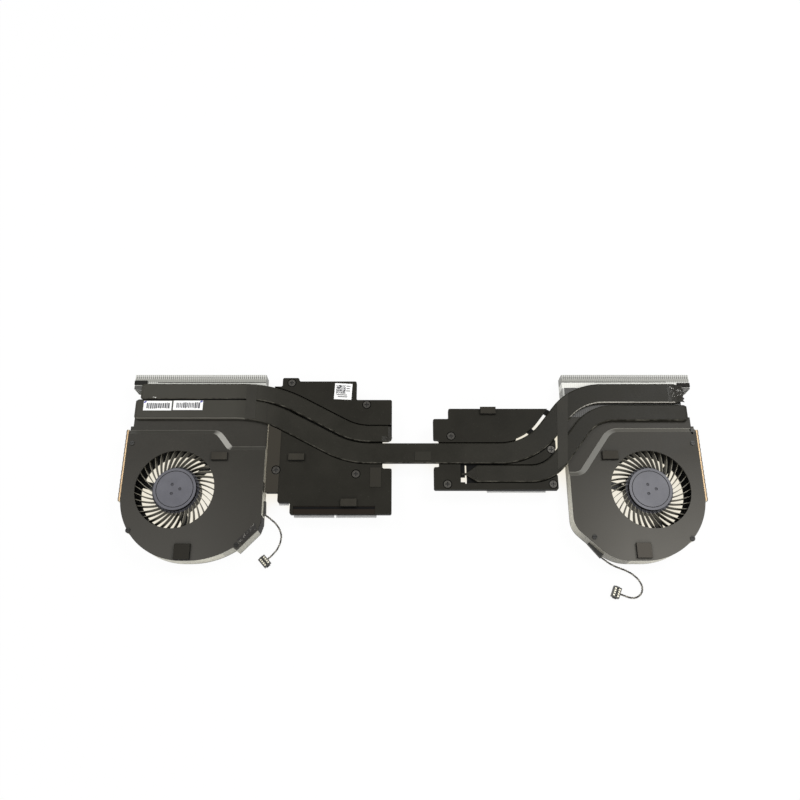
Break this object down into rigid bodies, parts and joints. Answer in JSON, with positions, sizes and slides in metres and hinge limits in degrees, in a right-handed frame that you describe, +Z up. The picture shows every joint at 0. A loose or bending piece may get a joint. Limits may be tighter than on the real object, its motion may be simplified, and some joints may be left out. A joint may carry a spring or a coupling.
{
  "type": "laptop cooling fan heatsink",
  "caption": "Flat black laptop cooler: a blower at each end, fin stacks, flattened heat pipes and two cold plates.",
  "frame": {"origin": "centre of the footprint without the leads, on the table", "axes": "+X from the left fan to the right fan, +Y towards the fins, +Z up out of the inlets"},
  "size_m": [0.3286, 0.1291, 0.0133],
  "materials": {
    "black_paint": "satin black paint, lightly scuffed",
    "fan_shell": "plain light grey shell",
    "fins": "bare folded sheet",
    "dark_steel": "blackened",
    "steel": "plain",
    "copper": "bare copper alloy",
    "bronze": "sintered",
    "magnet": "plain",
    "rotor_plastic": "grey black, satin",
    "white_plastic": "plain",
    "black_plastic": "plain",
    "plug_plastic": "plain",
    "lead_sheath": "matt",
    "board": "solder mask",
    "foam": "soft, matt",
    "grey_pad": "soft, matt",
    "black_tape": "smooth film",
    "label_paper": "plain"
  },
  "bodies": {
    "heat_sink": {"left_fan_frame": "fan_shell", "left_fan_cover": "black_paint", "left_cover_screws": "dark_steel", "left_bearing_bush": "bronze", "left_thrust_pad": "white_plastic", "left_stator_core": "dark_steel", "left_stator_coils": "copper", "left_motor_board": "board", "left_contact_strip": "copper", "left_fan_pads": "foam", "left_lead_gland": "black_plastic", "left_fan_lead": "lead_sheath", "left_lead_plug": "plug_plastic", "right_fan_frame": "fan_shell", "right_fan_cover": "black_paint", "right_cover_screws": "dark_steel", "right_bearing_bush": "bronze", "right_thrust_pad": "white_plastic", "right_stator_core": "dark_steel", "right_stator_coils": "copper", "right_motor_board": "board", "right_contact_strip": "copper", "right_fan_pads": "foam", "right_lead_gland": "black_plastic", "right_fan_lead": "lead_sheath", "right_lead_plug": "plug_plastic", "left_fin_stack": "fins", "right_fin_stack": "fins", "left_fin_foam": "foam", "right_fin_foam": "foam", "left_heat_pipe": "black_paint", "long_heat_pipe": "black_paint", "right_heat_pipe": "black_paint", "graphics_plate": "black_paint", "graphics_screws": "dark_steel", "graphics_clips": "steel", "graphics_block": "copper", "graphics_thermal_pads": "grey_pad", "graphics_foam": "foam", "processor_plate": "black_paint", "processor_screws": "dark_steel", "processor_clips": "steel", "processor_block": "copper", "processor_thermal_pads": "grey_pad", "processor_foam": "foam", "left_pipe_tape": "black_tape", "right_pipe_tape": "black_tape", "bay_tape": "black_tape", "pipe_labels": "label_paper", "plate_label": "label_paper", "bridge_patch": "black_tape"},
    "left_rotor": {"left_impeller": "rotor_plastic", "left_rotor_cup": "steel", "left_magnet_ring": "magnet", "left_shaft": "steel"},
    "right_rotor": {"right_impeller": "rotor_plastic", "right_rotor_cup": "steel", "right_magnet_ring": "magnet", "right_shaft": "steel"}
  },
  "joints": [
    {"name": "left_rotor_spin", "type": "hinge", "parent": "heat_sink", "child": "left_rotor", "pos_m": [-0.1334, -0.015, 0.006], "axis": [0, 0, 1], "continuous": true},
    {"name": "right_rotor_spin", "type": "hinge", "parent": "heat_sink", "child": "right_rotor", "pos_m": [0.1334, -0.015, 0.006], "axis": [0, 0, 1], "continuous": true}
  ]
}
